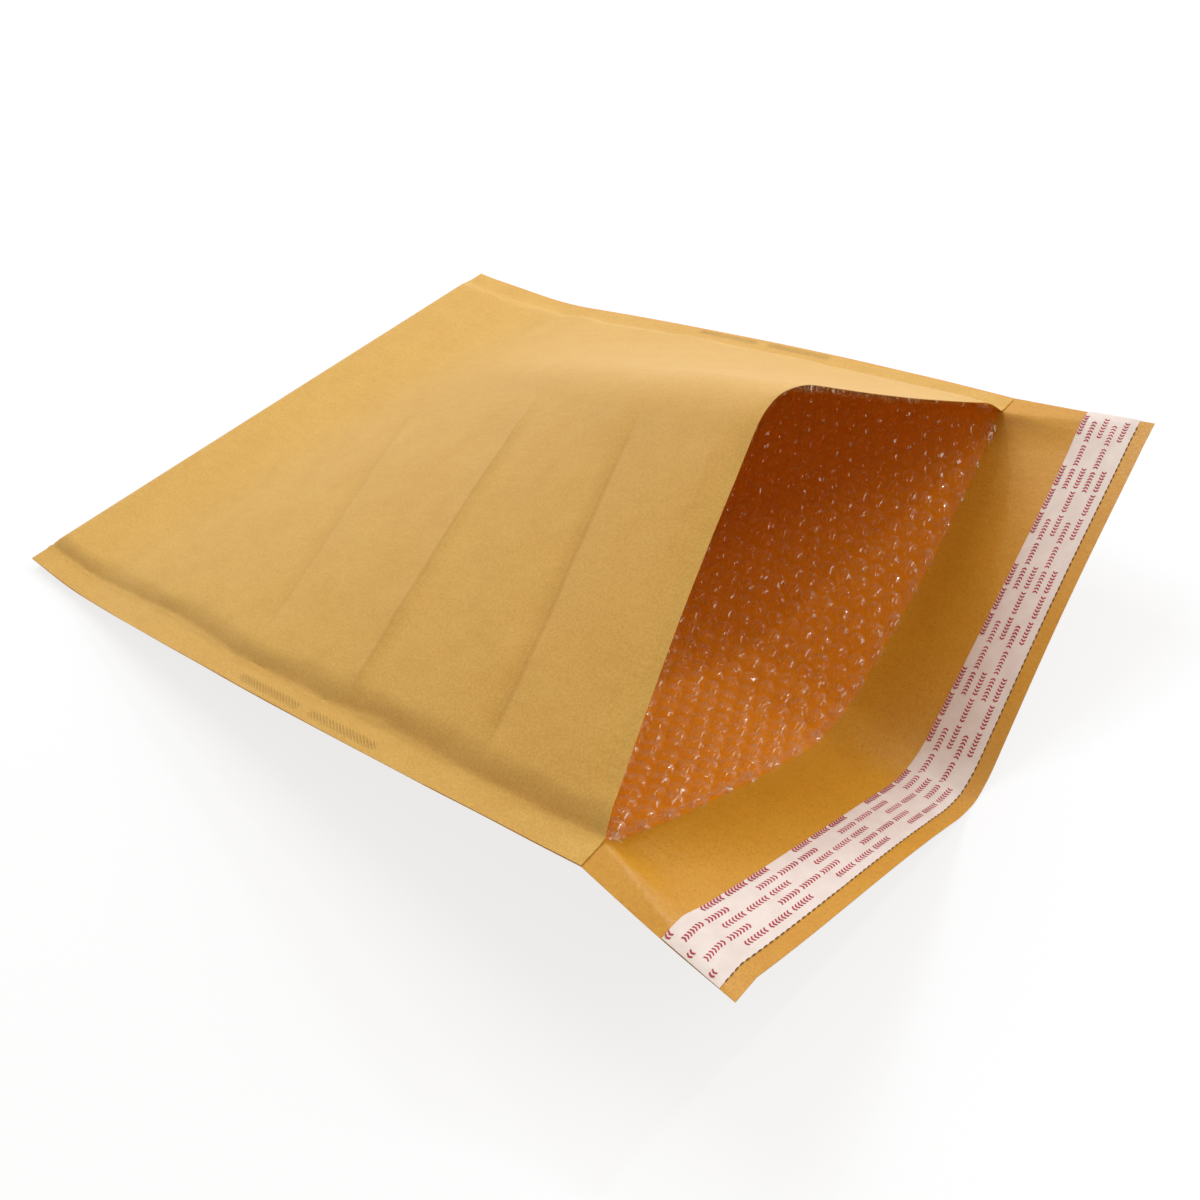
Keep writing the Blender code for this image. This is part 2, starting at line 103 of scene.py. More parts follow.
@dataclass(frozen=True)
class Form:
    """Flat sizes of the sheets and the shape that they're bent to, in metres."""

    width: float = 0.370
    length: float = 0.480
    flap: float = 0.071
    seam_band: float = 0.014
    wall: float = 0.0004
    half_depth: float = 0.0054
    seam_rise: float = 0.012
    fold_rise: float = 0.009
    near_seam_height: float = 0.078
    far_seam_height: float = 0.063
    crown_height: float = 0.148
    near_lip_height: float = 0.064
    far_lip_height: float = 0.076
    near_rest: float = 0.025
    far_rest: float = 0.068
    lift_ease: float = 0.057
    crown_at_fold: float = 0.292
    crown_at_mouth: float = 0.202
    crown_round: float = 0.022
    trough_at_fold: float = 0.189
    trough_at_mouth: float = 0.175
    trough_at_lip: float = 0.171
    trough_round: float = 0.019
    back_bows: tuple[float, float] = (-0.002, -0.005)
    front_bows: tuple[float, float] = (0.0, -0.002)
    lip_bows: tuple[float, float] = (0.007, 0.006)
    near_edge_draw: float = 0.0134
    draw_power: float = 1.87
    near_corner_skew: float = 0.006
    far_corner_skew: float = -0.031
    crown_skew: float = -0.017

    def chord(self, across: np.ndarray, near: float, far: float) -> np.ndarray:
        """Height of the straight line from the near edge to the far edge."""
        return near + (far - near) * across / self.width

    def rounded_fold(self, across: np.ndarray, fold: float, ease: float,
                     band: float) -> np.ndarray:
        """Height share of a sheet folded along one line.

        Args:
            across: Places across the sheet.
            fold: Place of the fold line.
            ease: Distance from the fold line over which the fold is rounded.
            band: Width of the flat bands at both edges.

        Returns:
            Shares from 1 at the fold to 0 in the bands.
        """
        rise, fall = 1.0 / (fold - band), 1.0 / (self.width - band - fold)
        gap = across - fold
        eased = (gap * gap + ease * ease) / (2.0 * ease)
        reach = np.where(np.abs(gap) > ease, np.abs(gap), eased)
        share = 1.0 - 0.5 * (rise + fall) * reach - 0.5 * (fall - rise) * gap
        top = 1.0 - 0.25 * ease * ((rise + fall) - (fall - rise) ** 2 / (rise + fall))
        return np.clip(share / top, 0.0, None)

    def flank_bows(self, across: np.ndarray, fold: float, bows: tuple[float, float],
                   band: float) -> np.ndarray:
        """Bows of both flanks, each midway between the fold line and its band.

        Args:
            across: Places across the sheet.
            fold: Place of the fold line.
            bows: Heights of the near and the far flank's bow.
            band: Width of the flat bands at both edges.

        Returns:
            Heights to add to the folded sheet.
        """
        total = np.zeros_like(across)
        for edge, bow in zip((band, self.width - band), bows):
            share = np.clip((across - edge) / (fold - edge), 0.0, 1.0)
            total += bow * 4.0 * share * (1.0 - share)
        return total

    def lift(self, across: np.ndarray, along: float) -> np.ndarray:
        """Share of the mouth's heights over one row of a panel.

        Args:
            across: Places across the row.
            along: The row's distance from the closed fold.

        Returns:
            Shares from 0 where the panel lies flat to 1 at the mouth.
        """
        rest = self.near_rest + (self.far_rest - self.near_rest) * across / self.width
        past = np.clip(along - rest, 0.0, None)
        ease = self.lift_ease
        eased = np.where(past < ease, past * past / (2.0 * ease), past - ease / 2.0)
        return eased / (self.length - rest - ease / 2.0)

    def body_heights(self, across: np.ndarray, along: float) -> dict[Panel, np.ndarray]:
        """Heights of both panels over one row.

        Args:
            across: Places across the row.
            along: The row's distance from the closed fold.

        Returns:
            The heights of each panel above its place where the envelope lies flat.
        """
        near, far = self.near_seam_height - self.half_depth, self.far_seam_height - self.half_depth
        share, up, band = along / self.length, self.lift(across, along), self.seam_band
        chord = self.chord(across, near, far)
        trough = between(self.trough_at_fold, self.trough_at_mouth, share)
        sink = self.chord(trough, near, far) * self.rounded_fold(
            across, trough, self.trough_round, band)
        back = up * (chord - sink + self.flank_bows(across, trough, self.back_bows, band))
        crown = between(self.crown_at_fold, self.crown_at_mouth, share)
        rise = self.crown_height - 2.0 * self.half_depth - self.chord(crown, near, far)
        tent = rise * self.rounded_fold(across, crown, self.crown_round, band)
        front = up * (chord + tent + self.flank_bows(across, crown, self.front_bows, band))
        return {Panel.BACK: np.maximum(back, 0.0), Panel.FRONT: front}

    def flap_heights(self, across: np.ndarray, beyond: float) -> np.ndarray:
        """Heights of the flap over one row.

        Args:
            across: Places across the row.
            beyond: The row's distance beyond the mouth.

        Returns:
            Heights above the flap's place where the envelope lies flat.
        """
        share = beyond / self.flap
        near = between(self.near_seam_height, self.near_lip_height, share) - self.half_depth
        far = between(self.far_seam_height, self.far_lip_height, share) - self.half_depth
        trough = between(self.trough_at_mouth, self.trough_at_lip, share)
        band = self.seam_band * (1.0 - share)
        sink = self.chord(trough, near, far) * self.rounded_fold(
            across, trough, self.trough_round, band)
        bows = tuple(between(*pair, share) for pair in zip(self.back_bows, self.lip_bows))
        heights = self.chord(across, near, far) - sink
        return np.maximum(heights + self.flank_bows(across, trough, bows, band), 0.0)


@dataclass(frozen=True)
class Crease:
    """A soft crease in the front panel: a ridge, or a valley where its height is below 0."""

    start: tuple[float, float]
    stop: tuple[float, float]
    height: float
    bend: float = 0.0
    steep: float = 0.0055
    shallow: float = 0.0140
    fades: tuple[float, float] = (6.0, 9.0)

    def relief(self, across: np.ndarray, along: np.ndarray) -> np.ndarray:
        """Height over the sheet, steep on the side that faces the mouth.

        Args:
            across: Places across the sheet.
            along: Places along the sheet.

        Returns:
            Heights above the smooth panel.
        """
        (u0, v0), (u1, v1) = self.start, self.stop
        size = math.hypot(u1 - u0, v1 - v0)
        run = ((across - u0) * (u1 - u0) + (along - v0) * (v1 - v0)) / size ** 2
        off = ((along - v0) * (u1 - u0) - (across - u0) * (v1 - v0)) / size
        off = off - self.bend * 4.0 * run * (1.0 - run)
        fade_in, fade_out = self.fades
        ends = np.clip(run * fade_in, 0.0, 1.0) * np.clip((1.0 - run) * fade_out, 0.0, 1.0)
        ends = ends * ends * (3.0 - 2.0 * ends)
        reach = np.where(off * self.height < 0.0, self.steep, self.shallow)
        return self.height * ends * np.exp(-np.abs(off) / reach)


CREASES = (
    Crease((0.218, 0.130), (0.022, 0.232), -0.0009, -0.010),
    Crease((0.224, 0.267), (0.012, 0.316), 0.0016, -0.007),
    Crease((0.205, 0.380), (0.016, 0.409), -0.0018, -0.0065),
    Crease((0.176, 0.456), (0.140, 0.464), 0.0005),
)


class Sheets:
    """The bent sheets, read at any place on them."""

    STEP = 0.002
    FOOT_BEAD = 0.0005
    BEAD_INSET = 0.0010
    BEAD_WIDTH = 0.0013
    MOUTH_DROOP = 0.0028
    DROOP_REACH = 0.024
    DROOP_STOP = 0.20
    WAVE = 0.0007
    SWELL = 0.25
    FAR_FOOT_STRAY = 0.0014
    NEAR_FOOT = ((0.0, 0.0140), (0.05, 0.0145), (0.10, 0.0165), (0.15, 0.0185), (0.19, 0.0165),
                 (0.22, 0.0140), (0.26, 0.0150), (0.30, 0.0145), (0.34, 0.0178), (0.38, 0.0158),
                 (0.41, 0.0140), (0.48, 0.0140))

    def __init__(self, form: Form) -> None:
        """Bend the sheets.

        Args:
            form: Sizes and shape of the sheets.
        """
        self.form = form
        self.across = self._lines([0.0, form.seam_band, form.seam_band + form.seam_rise,
                                   form.width - form.seam_band - form.seam_rise,
                                   form.width - form.seam_band, form.width])
        body = self._lines([0.0, form.fold_rise, form.near_rest, form.length])
        beyond = self._lines([0.0, form.flap])[1:]
        self.along = np.concatenate([body, form.length + beyond])
        self.middle = self._bend(body, beyond)
        low = np.minimum(*(surface[:len(body)].min(axis=(0, 1))
                           for surface in self.middle.values()))
        high = self.middle[Panel.BACK].max(axis=(0, 1))
        self.origin = np.array([(low[0] + high[0]) / 2.0, (low[1] + high[1]) / 2.0, 0.0])

    def _lines(self, stops: list[float]) -> np.ndarray:
        """Places along a side that pass through the stops, about a step apart."""
        runs = [np.linspace(a, b, max(1, round((b - a) / self.STEP)), endpoint=False)
                for a, b in zip(stops, stops[1:])]
        return np.concatenate(runs + [[stops[-1]]])

    def _runs(self, lengths: np.ndarray, *moves: np.ndarray) -> np.ndarray:
        """Run that is left on each stretch once it has moved in other directions."""
        return np.sqrt(np.maximum(lengths ** 2 - sum(m * m for m in moves), (0.2 * lengths) ** 2))

    def _bend(self, body: np.ndarray, beyond: np.ndarray) -> dict[Panel, np.ndarray]:
        """Middle surfaces of both sheets, which keep their flat sizes.

        Args:
            body: Distances of the rows from the closed fold, up to the mouth.
            beyond: Distances of the flap's rows from the mouth.

        Returns:
            A grid of points for each panel. Both grids have the flap's rows.
        """
        form, last = self.form, len(body)
        rows = [form.body_heights(self.across, v) for v in body]
        heights = {panel: np.array([row[panel] for row in rows]) for panel in Panel}
        flap = np.array([form.flap_heights(self.across, v) for v in beyond])
        heights[Panel.BACK] = np.vstack([heights[Panel.BACK], flap])
        share = np.minimum(self.along / form.length, 1.0)
        start = form.near_edge_draw * share ** form.draw_power
        sideways = {}
        for panel, z in heights.items():
            runs = self._runs(np.diff(self.across)[None, :], np.diff(z, axis=1))
            steps = np.pad(np.cumsum(runs, axis=1), ((0, 0), (1, 0)))
            sideways[panel] = start[:len(z), None] + steps
        inner_width = form.width - 2.0 * form.seam_band
        reach = np.clip((self.across - form.seam_band) / inner_width, 0.0, 1.0)
        miss = (sideways[Panel.FRONT][:, -1] - sideways[Panel.BACK][:last, -1]) / 2.0
        sideways[Panel.FRONT] -= miss[:, None] * reach
        sideways[Panel.BACK] += np.pad(miss, (0, len(beyond)), mode="edge")[:, None] * reach
        skew = form.near_corner_skew + (form.far_corner_skew - form.near_corner_skew) \
            * self.across / form.width
        crown = form.crown_skew * 4.0 * reach * (1.0 - reach)
        middle = {}
        for panel, z in heights.items():
            lengths = np.diff(self.along[:len(z)])[:, None]
            runs = self._runs(lengths, np.diff(sideways[panel], axis=0), np.diff(z, axis=0))
            x = np.pad(np.cumsum(runs, axis=0), ((1, 0), (0, 0)))
            x += share[:len(z), None] * (skew + (crown if panel is Panel.FRONT else 0.0))
            middle[panel] = np.stack([x, sideways[panel], z + form.half_depth], axis=2)
        return middle

    def padding(self, across: np.ndarray, along: np.ndarray) -> np.ndarray:
        """Share of the full padding, which swells unevenly beside the seams.

        Args:
            across: Places across the sheet.
            along: Places along the sheet, up to the mouth.

        Returns:
            Shares from 0 in the flat rims to 1.
        """
        form = self.form
        rise = form.seam_rise * (1.0 + self.SWELL * wander(along, 0.13, 4))
        seam_share = np.clip(self.from_foot(across, along) / rise, 0.0, 1.0)
        fold_share = np.clip(along / form.fold_rise, 0.0, 1.0)
        return np.minimum(1.0 - (1.0 - seam_share) ** 2, 1.0 - (1.0 - fold_share) ** 2)

    def from_foot(self, across: np.ndarray, along: np.ndarray) -> np.ndarray:
        """Distances from the uneven foot of the nearer padded rim, inwards.

        Args:
            across: Places across the sheet.
            along: Places along the sheet.

        Returns:
            Distances, below 0 in the rim.
        """
        form = self.form
        near_foot = np.interp(along, *zip(*self.NEAR_FOOT))
        stray = self.FAR_FOOT_STRAY * wander(along, 0.15, 3)
        far_foot = form.seam_band + stray * np.clip(along / 0.08, 0.0, 1.0)
        return np.minimum(across - near_foot, form.width - across - far_foot)

    def outside(self, across: np.ndarray, along: np.ndarray) -> np.ndarray:
        """Distance from the middle surfaces to the cover's outside, along Z.

        Args:
            across: Places across the sheet.
            along: Places along the sheet.

        Returns:
            The distances.
        """
        form = self.form
        at_mouth = np.minimum(along, form.length)
        depth = form.wall + (form.half_depth - form.wall) * self.padding(across, at_mouth)
        share = np.clip((along - form.length) / form.flap, 0.0, 1.0)
        return form.half_depth - (form.half_depth - depth) * (1.0 - share) ** 2

    def relief(self, across: np.ndarray, along: np.ndarray) -> np.ndarray:
        """Creases, seam foot, slow waves and drooping mouth of the front panel.

        Args:
            across: Places across the sheet.
            along: Places along the sheet.

        Returns:
            Heights above the smooth panel.
        """
        form = self.form
        total = sum(crease.relief(across, along) for crease in CREASES)
        from_bead = self.from_foot(across, along) + self.BEAD_INSET
        lifted_foot = np.exp(-(from_bead / self.BEAD_WIDTH) ** 2)
        total = total + self.FOOT_BEAD * lifted_foot * (0.7 + 0.5 * wander(along, 0.05, 6))
        from_edge = np.minimum(across, form.width - across)
        inner = np.clip((from_edge - form.seam_band) / 0.05, 0.0, 1.0)
        near_flank = (np.clip((across - form.seam_band) / 0.016, 0.0, 1.0)
                      * np.clip((self.DROOP_STOP - across) / 0.04, 0.0, 1.0))
        droop = np.clip(1.0 - (form.length - along) / self.DROOP_REACH, 0.0, 1.0) ** 2
        total = total - self.MOUTH_DROOP * near_flank * droop
        lifted = np.clip((along - 0.05) / 0.1, 0.0, 1.0)
        waves = wander(along + 0.3 * across, 0.16, 11) * wander(across - 0.2 * along, 0.14, 12)
        return total + self.WAVE * inner * lifted * waves

    def sample(self, panel: Panel, across: np.ndarray, along: np.ndarray,
               inward: np.ndarray | float = 0.0) -> np.ndarray:
        """Points of the cover's outside, or of a layer inside it.

        Args:
            panel: The panel to read.
            across: Places across the sheet.
            along: Places along the sheet.
            inward: Depth below the outside, along Z towards the other panel.

        Returns:
            Points in the frame, with one more axis than the places have.
        """
        surface = self.middle[panel]
        i = np.interp(across, self.across, np.arange(len(self.across)))
        j = np.interp(along, self.along[:len(surface)], np.arange(len(surface)))
        i0 = np.minimum(i.astype(int), surface.shape[1] - 2)
        j0 = np.minimum(j.astype(int), surface.shape[0] - 2)
        s, t = (i - i0)[..., None], (j - j0)[..., None]
        points = ((1.0 - t) * ((1.0 - s) * surface[j0, i0] + s * surface[j0, i0 + 1])
                  + t * ((1.0 - s) * surface[j0 + 1, i0] + s * surface[j0 + 1, i0 + 1]))
        points = points - self.origin
        lift = panel.value * (self.outside(across, along) - inward)
        if panel is Panel.FRONT:
            lift = lift + self.relief(across, along)
        points[..., 2] += lift
        return points

    def inward(self, panel: Panel, across: np.ndarray, along: np.ndarray) -> np.ndarray:
        """Directions square to a panel's padded face, towards the other panel.

        Args:
            panel: The panel to read.
            across: Places across the sheet.
            along: Places along the sheet.

        Returns:
            Unit vectors, with one more axis than the places have.
        """
        d = 0.004
        over = self.sample(panel, across + d, along) - self.sample(panel, across - d, along)
        ahead = self.sample(panel, across, along + d) - self.sample(panel, across, along - d)
        square = np.cross(ahead, over)
        square *= -panel.value / np.linalg.norm(square, axis=-1, keepdims=True)
        return square * np.sign(-panel.value * square[..., 2:3])


class Shell:
    """A mesh under construction from grids of points."""

    def __init__(self) -> None:
        """Start with no points and no faces."""
        self.points: list[np.ndarray] = []
        self.places: list[np.ndarray] = []
        self.faces: list[list[int]] = []
        self.slots: list[int] = []
        self.count = 0

    def add(self, points: np.ndarray, places: np.ndarray) -> np.ndarray:
        """Add points.

        Args:
            points: Points, with any axes before the last.
            places: Their places on the flat sheet, across and along.

        Returns:
            The points' numbers, in the shape of the grid.
        """
        shape = points.shape[:-1]
        self.points.append(points.reshape(-1, 3))
        self.places.append(places.reshape(-1, 2))
        numbers = self.count + np.arange(int(np.prod(shape))).reshape(shape)
        self.count += numbers.size
        return numbers

    def join(self, low: np.ndarray, high: np.ndarray, slot: int = 0) -> None:
        """Add a row of faces between two rows of points.

        Args:
            low: Numbers of the points of one row.
            high: Numbers of the points of the other row.
            slot: Number of the faces' material.
        """
        quads = np.stack([low[:-1], low[1:], high[1:], high[:-1]], axis=-1).reshape(-1, 4)
        self.faces += quads.tolist()
        self.slots += [slot] * len(quads)

    def cover(self, grid: np.ndarray, slot: int = 0) -> None:
        """Add the faces of a grid of points, row by row."""
        for low, high in zip(grid, grid[1:]):
            self.join(low, high, slot)

    def finish(self, name: str, materials: list[Material], node: str,
               slot: str, smooth_angle: float = 40.0) -> Object:
        """Turn the shell into a piece of the envelope.

        Args:
            name: Name of the piece.
            materials: Its materials, in the order of the faces' slots.
            node: The node that the piece stands for.
            slot: Not used.
            smooth_angle: Angle in degrees above which an edge stays sharp.

        Returns:
            The piece, riding on the envelope.
        """
        mesh = bpy.data.meshes.new(name)
        mesh.from_pydata(np.concatenate(self.points).tolist(), [], self.faces)
        for material in materials:
            mesh.materials.append(material)
        mesh.polygons.foreach_set("material_index", self.slots)
        corners = np.empty(len(mesh.loops), dtype=np.int64)
        mesh.loops.foreach_get("vertex_index", corners)
        sheet_map = mesh.uv_layers.new(name=SHEET_MAP)
        sheet_map.uv.foreach_set("vector", np.concatenate(self.places)[corners].ravel())
        mesh.shade_smooth()
        mesh.set_sharp_from_angle(angle=math.radians(smooth_angle))
        piece = bpy.data.objects.new(name, mesh)
        bpy.context.scene.collection.objects.link(piece)
        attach(piece, "root")
        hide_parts(node)
        return piece


class Nodes:
    """A short way to write the node tree of a material or a world."""

    def __init__(self, block: Material | World) -> None:
        """Start with the shader and the output that a new block has.

        Args:
            block: The material or world.
        """
        block.use_nodes = True
        self.block = block
        self.tree = block.node_tree
        ends = ("Material Output", "World Output")
        self.output = next(node for node in self.tree.nodes if node.name in ends)
        self.shader = self.output.inputs["Surface"].links[0].from_node

    def put(self, kind: str, inputs: dict[str | int, Value] | None = None,
            **settings: str) -> Node:
        """Add a node.

        Args:
            kind: The node's type name.
            inputs: Values or sockets for its inputs, by name or number.
            **settings: Values for the node's own properties.

        Returns:
            The new node.
        """
        node = self.tree.nodes.new(kind)
        for key, value in settings.items():
            setattr(node, key, value)
        self.feed(node, inputs or {})
        return node

    def feed(self, node: Node, inputs: dict[str | int, Value]) -> None:
        """Set a node's inputs to values, or link them to other nodes' outputs.

        Args:
            node: The node to feed.
            inputs: Values or sockets for its inputs, by name or number.
        """
        for key, value in inputs.items():
            if isinstance(value, NodeSocket):
                self.tree.links.new(value, node.inputs[key])
            else:
                node.inputs[key].default_value = value

    def math(self, operation: str, *values: Value) -> NodeSocket:
        """Result of a Math node."""
        return self.put("ShaderNodeMath", dict(enumerate(values)), operation=operation).outputs[0]

    def ramp(self, value: Value, low: float, high: float,
             to_low: float = 0.0, to_high: float = 1.0) -> NodeSocket:
        """Value moved smoothly from one range to another, which it doesn't leave."""
        ends = dict(enumerate((value, low, high, to_low, to_high)))
        return self.put("ShaderNodeMapRange", ends, interpolation_type="SMOOTHSTEP").outputs[0]

    def window(self, value: Value, *stops: float) -> NodeSocket:
        """Share that rises from 0 to 1 between two stops and falls between two more."""
        rise, fall = self.ramp(value, *stops[:2]), self.ramp(value, *stops[2:], 1.0, 0.0)
        return self.math("MULTIPLY", rise, fall)

    def noise(self, place: NodeSocket, scale: float, detail: float = 2.0,
              roughness: float = 0.5) -> NodeSocket:
        """Noise over a place, about 0.5 on average."""
        inputs = {"Vector": place, "Scale": scale, "Detail": detail, "Roughness": roughness}
        return self.put("ShaderNodeTexNoise", inputs).outputs[0]

    def blend(self, share: Value, first: Value, second: Value) -> NodeSocket:
        """Mix of two colours."""
        node = self.put("ShaderNodeMix", {0: share, 6: first, 7: second}, data_type="RGBA")
        return node.outputs[2]

    def bump(self, height: Value, strength: float = 1.0) -> NodeSocket:
        """Give the shader a relief.

        Args:
            height: Heights in metres.
            strength: Share of them that counts.

        Returns:
            The bumped normals.
        """
        inputs = {"Height": height, "Distance": 1.0, "Strength": strength}
        normals = self.put("ShaderNodeBump", inputs).outputs[0]
        self.feed(self.shader, {"Normal": normals})
        return normals

    def mix_in(self, share: Value, first: NodeSocket, second: NodeSocket) -> None:
        """Show a mix of two shaders, with a share of the second."""
        mix = self.put("ShaderNodeMixShader", {0: share, 1: first, 2: second})
        self.feed(self.output, {"Surface": mix.outputs[0]})

    def seen_directly(self) -> NodeSocket:
        """Tell the rays that show a surface to the camera, or in a reflection.

        Returns:
            1 for such a ray, and 0 for one that only carries light.
        """
        path = self.put("ShaderNodeLightPath").outputs
        share = self.math("MAXIMUM", path["Is Camera Ray"], path["Is Glossy Ray"])
        return self.math("MAXIMUM", share, path["Is Transmission Ray"])


def linear(colour: tuple[int, int, int]) -> tuple[float, float, float, float]:
    """Linear colour of one that is given as it shows on a screen, 0 to 255."""
    shares = [c / 255.0 for c in colour]
    return (*[s / 12.92 if s <= 0.04045 else ((s + 0.055) / 1.055) ** 2.4 for s in shares], 1.0)


@dataclass(frozen=True)
class KraftFinish:
    """Brown kraft paper: two tones of pulp, fibres, tooth, and some light let through. On the
    outside, painted shade darkens the creases, and pressed ticks darken the seams.
    """

    name: str = "kraft_paper"
    pale: tuple[int, int, int] = (233, 192, 104)
    deep: tuple[int, int, int] = (217, 170, 80)
    roughness: float = 0.48
    tooth: float = 0.00006
    grain_scale: float = 900.0
    cloud_scale: float = 45.0
    fibre_scale: tuple[float, ...] = (260.0, 60.0, 1.0)
    gloss: float = 0.5
    thin: float = 0.12
    with_crease_shade_and_ticks: bool = True
    through_tint: tuple[float, ...] = (1.0, 0.56, 0.08, 1.0)
    crease_shade_and_tick_tone: tuple[int, int, int] = (128, 74, 24)
    line_width: float = 0.0022
    line_shade: float = 0.32
    line_share: float = 0.55
    crease_shade_band: tuple[float, ...] = (-0.0004, 0.0012, 0.0012, 0.013)
    line_ends: tuple[float, ...] = (0.0, 0.25, 0.88, 1.0)
    knurl_pitch: float = 0.0026
    knurl_slant: float = 1.6
    knurl_shade: float = 0.17
    knurl_depth: float = 0.00040
    knurl_lane: tuple[float, ...] = (0.0018, 0.0042, 0.0058, 0.0082)
    knurl_fade: float = 0.004
    knurled: tuple[tuple[float, float], ...] = ((0.235, 0.291), (0.296, 0.351))

    def make(self, form: Form) -> Material:
        """Build the material.

        Args:
            form: Sizes of the sheets, for the knurled band along the seams.

        Returns:
            The finished material.
        """
        nodes = Nodes(bpy.data.materials.new(self.name))
        place = nodes.put("ShaderNodeTexCoord").outputs["Object"]
        grain = nodes.noise(place, self.grain_scale, 3.0, 0.6)
        cloud = nodes.noise(place, self.cloud_scale, 4.0, 0.6)
        sheet = nodes.put("ShaderNodeUVMap", uv_map=SHEET_MAP).outputs[0]
        stretched = nodes.put("ShaderNodeMapping", {"Vector": sheet, "Scale": self.fibre_scale})
        fibre = nodes.noise(stretched.outputs[0], 1.0, 3.0, 0.55)
        tone = nodes.math("MULTIPLY_ADD", cloud, 0.4, nodes.math("MULTIPLY", grain, 1.5))
        tone = nodes.math("MULTIPLY_ADD", fibre, 0.35, nodes.math("SUBTRACT", tone, 0.62))
        tone = nodes.ramp(tone, 0.15, 0.85)
        colour = nodes.blend(tone, linear(self.deep), linear(self.pale))
        rough = nodes.math("ADD", nodes.noise(place, 1500.0, 2.0, 0.6),
                           nodes.math("MULTIPLY", nodes.noise(place, 220.0, 3.0), 2.0))
        height = nodes.math("MULTIPLY", rough, self.tooth)
        if self.with_crease_shade_and_ticks:
            ticks = self.knurls(nodes, sheet, form)
            # Painted shade along the creases, mixed into one dark colour with the darker pressed
            # ticks.
            lines = nodes.math("MULTIPLY", self.crease_shade_lines(nodes, sheet), self.line_shade)
            shade = nodes.math("MULTIPLY_ADD", ticks, self.knurl_shade, lines)
            colour = nodes.blend(shade, colour, linear(self.crease_shade_and_tick_tone))
            height = nodes.math("MULTIPLY_ADD", ticks, -self.knurl_depth, height)
        dull = nodes.ramp(grain, 0.3, 0.7, self.roughness - 0.07, self.roughness + 0.07)
        nodes.feed(nodes.shader, {"Base Color": colour, "Roughness": dull,
                                  "Specular IOR Level": self.gloss})
        nodes.bump(height)
        through = nodes.put("ShaderNodeBsdfTranslucent", {"Color": self.through_tint})
        nodes.mix_in(self.thin, nodes.shader.outputs[0], through.outputs[0])
        return nodes.block

    def crease_shade_lines(self, nodes: Nodes, sheet: NodeSocket) -> NodeSocket:
        """Share of painted shade along the sharp lines of the creases, and in a soft band on one
        side of each.

        Args:
            nodes: The material's nodes.
            sheet: Places on the flat sheet.

        Returns:
            The share, 1 on a line.
        """
        split = nodes.put("ShaderNodeSeparateXYZ", {0: sheet})
        u, v = split.outputs[0], split.outputs[1]
        ripple = nodes.math("MULTIPLY_ADD", nodes.noise(sheet, 30.0, 1.0), 0.003, -0.0015)
        deepest = max(abs(crease.height) for crease in CREASES)
        total = 0.0
        for crease in CREASES:
            (u0, v0), (u1, v1) = crease.start, crease.stop
            du, dv, size = u1 - u0, v1 - v0, math.hypot(u1 - u0, v1 - v0)
            run = nodes.math("MULTIPLY_ADD", u, du / size ** 2, -(u0 * du + v0 * dv) / size ** 2)
            run = nodes.math("MULTIPLY_ADD", v, dv / size ** 2, run)
            off = nodes.math("MULTIPLY_ADD", u, -dv / size, (u0 * dv - v0 * du) / size)
            off = nodes.math("ADD", nodes.math("MULTIPLY_ADD", v, du / size, off), ripple)
            arch = nodes.math("MULTIPLY", run, nodes.math("SUBTRACT", 1.0, run))
            off = nodes.math("MULTIPLY_ADD", arch, -4.0 * crease.bend, off)
            off = nodes.math("MULTIPLY", off, math.copysign(1.0, -crease.height))
            # Painted shade: a soft dark band on one side of the crease, and a darker core on its
            # line.
            band = nodes.window(off, *self.crease_shade_band)
            core = nodes.ramp(nodes.math("ABSOLUTE", off), 0.0002, self.line_width, 1.0, 0.0)
            line = nodes.math("MULTIPLY_ADD", band, 1.0 - self.line_share,
                              nodes.math("MULTIPLY", core, self.line_share))
            line = nodes.math("MULTIPLY", line, nodes.window(run, *self.line_ends))
            total = nodes.math("MULTIPLY_ADD", line, abs(crease.height) / deepest, total)
        return total

    def knurls(self, nodes: Nodes, sheet: NodeSocket, form: Form) -> NodeSocket:
        """Share of the pressed ticks along the heat-sealed seams.

        Args:
            nodes: The material's nodes.
            sheet: Places on the flat sheet.
            form: Sizes of the sheets.

        Returns:
            The share, 1 in a tick.
        """
        split = nodes.put("ShaderNodeSeparateXYZ", {0: sheet})
        across, along = split.outputs[0], split.outputs[1]
        edge = nodes.math("MINIMUM", across, nodes.math("SUBTRACT", form.width, across))
        lane = nodes.window(edge, *self.knurl_lane)
        turn = nodes.math("MULTIPLY_ADD", edge, self.knurl_slant, along)
        wave = nodes.math("SINE", nodes.math("MULTIPLY", turn, 2.0 * math.pi / self.knurl_pitch))
        stretches = [nodes.window(along, start, start + self.knurl_fade,
                                  stop - self.knurl_fade, stop) for start, stop in self.knurled]
        mask = nodes.math("MULTIPLY", lane, nodes.math("ADD", *stretches))
        return nodes.math("MULTIPLY", nodes.ramp(wave, -0.2, 0.9), mask)


